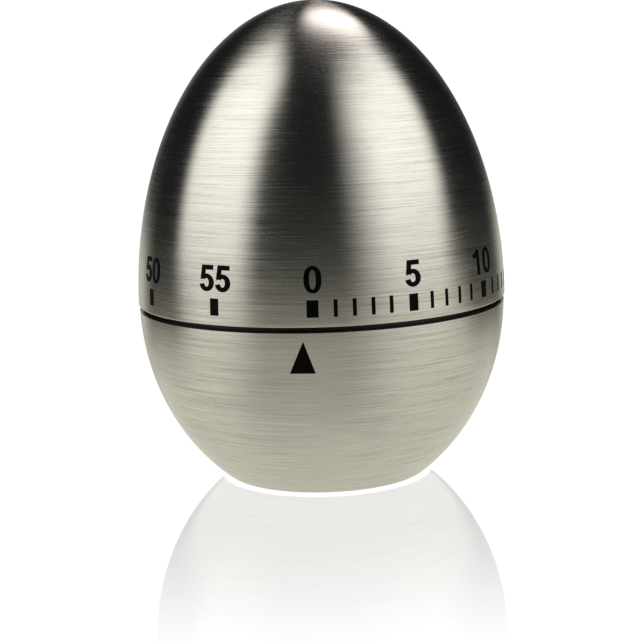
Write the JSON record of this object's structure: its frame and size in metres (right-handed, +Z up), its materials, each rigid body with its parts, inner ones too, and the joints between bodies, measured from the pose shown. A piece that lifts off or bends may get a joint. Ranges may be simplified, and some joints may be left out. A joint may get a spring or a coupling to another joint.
{
  "type": "kitchen timer",
  "caption": "Egg-shaped mechanical kitchen timer in brushed steel, with a turning upper half as its dial, a clockwork movement and a bell inside.",
  "frame": {"origin": "on the table under the middle of the foot", "axes": "+Z up through the egg's tip, -Y towards the user, where the pointer is"},
  "size_m": [0.06, 0.06, 0.0774],
  "materials": {
    "brushed_steel": "brushed round the axis",
    "black_plastic": "fine moulded texture",
    "grey_plastic": "moulded",
    "rubber": "matt",
    "nickel": "nickel plated",
    "zinc_steel": "bright zinc",
    "plate_brass": "satin",
    "wheel_brass": "satin",
    "bright_steel": "turned",
    "sheet_steel": "stamped",
    "spring_steel": "blued",
    "fibre": "matt"
  },
  "bodies": {
    "base": {"bottom_shell": "brushed_steel", "base_cover": "black_plastic", "foot_ring": "rubber", "base_screws": "zinc_steel", "liner_cup": "grey_plastic", "bell": "nickel", "bell_washer": "fibre", "bell_screw": "zinc_steel", "bottom_plate": "plate_brass", "top_plate": "plate_brass", "pillars": "bright_steel", "pillar_screws": "zinc_steel", "movement_screws": "zinc_steel", "arbor_bushes": "plate_brass", "spring_post": "bright_steel", "stop_pin": "bright_steel", "lever_post": "bright_steel", "collar_cover": "black_plastic", "cover_screws": "zinc_steel"},
    "dial": {"top_shell": "brushed_steel", "dial_carrier": "black_plastic", "main_arbor": "bright_steel", "mainspring": "spring_steel", "clutch_spring": "sheet_steel", "alarm_wheel": "wheel_brass", "release_cam": "sheet_steel", "stop_arm": "sheet_steel"},
    "first": {"great_wheel": "wheel_brass"},
    "second": {"second_arbor": "bright_steel", "second_pinion": "bright_steel", "second_wheel": "wheel_brass"},
    "third": {"third_arbor": "bright_steel", "third_pinion": "bright_steel", "third_wheel": "wheel_brass"},
    "escape": {"escape_arbor": "bright_steel", "escape_pinion": "bright_steel", "escape_wheel": "wheel_brass"},
    "anchor": {"anchor_arbor": "bright_steel", "pallet_anchor": "sheet_steel", "inertia_ring": "wheel_brass"},
    "star": {"star_arbor": "bright_steel", "star_pinion": "bright_steel", "star_wheel": "wheel_brass"},
    "hammer": {"hammer_arbor": "bright_steel", "hammer_verge": "sheet_steel", "hammer_rod": "sheet_steel", "hammer_head": "nickel"},
    "lever": {"release_lever": "sheet_steel"}
  },
  "joints": [
    {"name": "dial_turn", "type": "hinge", "parent": "base", "child": "dial", "pos_m": [0, 0, 0.0294], "axis": [0, 0, 1], "range_deg": [-345, 0], "deforming": ["mainspring"]},
    {"name": "great_wheel_turn", "type": "hinge", "parent": "base", "child": "first", "pos_m": [0, 0, 0.02], "axis": [0, 0, 1], "range_deg": [-345, 0]},
    {"name": "second_turn", "type": "hinge", "parent": "base", "child": "second", "pos_m": [0, 0.0135, 0.02], "axis": [0, 0, 1], "range_deg": [0, 2760]},
    {"name": "third_turn", "type": "hinge", "parent": "base", "child": "third", "pos_m": [0.00994, 0.01123, 0.02], "axis": [0, 0, 1], "range_deg": [-20700, 0]},
    {"name": "escape_turn", "type": "hinge", "parent": "base", "child": "escape", "pos_m": [0.01489, 0.00432, 0.02], "axis": [0, 0, 1], "range_deg": [0, 155250]},
    {"name": "star_turn", "type": "hinge", "parent": "base", "child": "star", "pos_m": [-0.01269, -0.00462, 0.02], "axis": [0, 0, 1], "range_deg": [0, 2760]},
    {"name": "anchor_swing", "type": "hinge", "parent": "base", "child": "anchor", "pos_m": [0.01523, -0.00288, 0.02], "axis": [0, 0, 1], "range_deg": [-4, 4]},
    {"name": "hammer_swing", "type": "hinge", "parent": "base", "child": "hammer", "pos_m": [-0.01142, -0.01191, 0.02], "axis": [0, 0, 1], "range_deg": [-4, 2]},
    {"name": "lever_swing", "type": "hinge", "parent": "base", "child": "lever", "pos_m": [-0.01034, 0.00868, 0.02], "axis": [0, 0, 1], "range_deg": [0, 9]}
  ],
  "couplings": [
    {"joint": "great_wheel_turn", "follows": "dial_turn", "ratio": 1},
    {"joint": "second_turn", "follows": "dial_turn", "ratio": -8},
    {"joint": "third_turn", "follows": "dial_turn", "ratio": 60},
    {"joint": "escape_turn", "follows": "dial_turn", "ratio": -450},
    {"joint": "star_turn", "follows": "dial_turn", "ratio": -8}
  ]
}
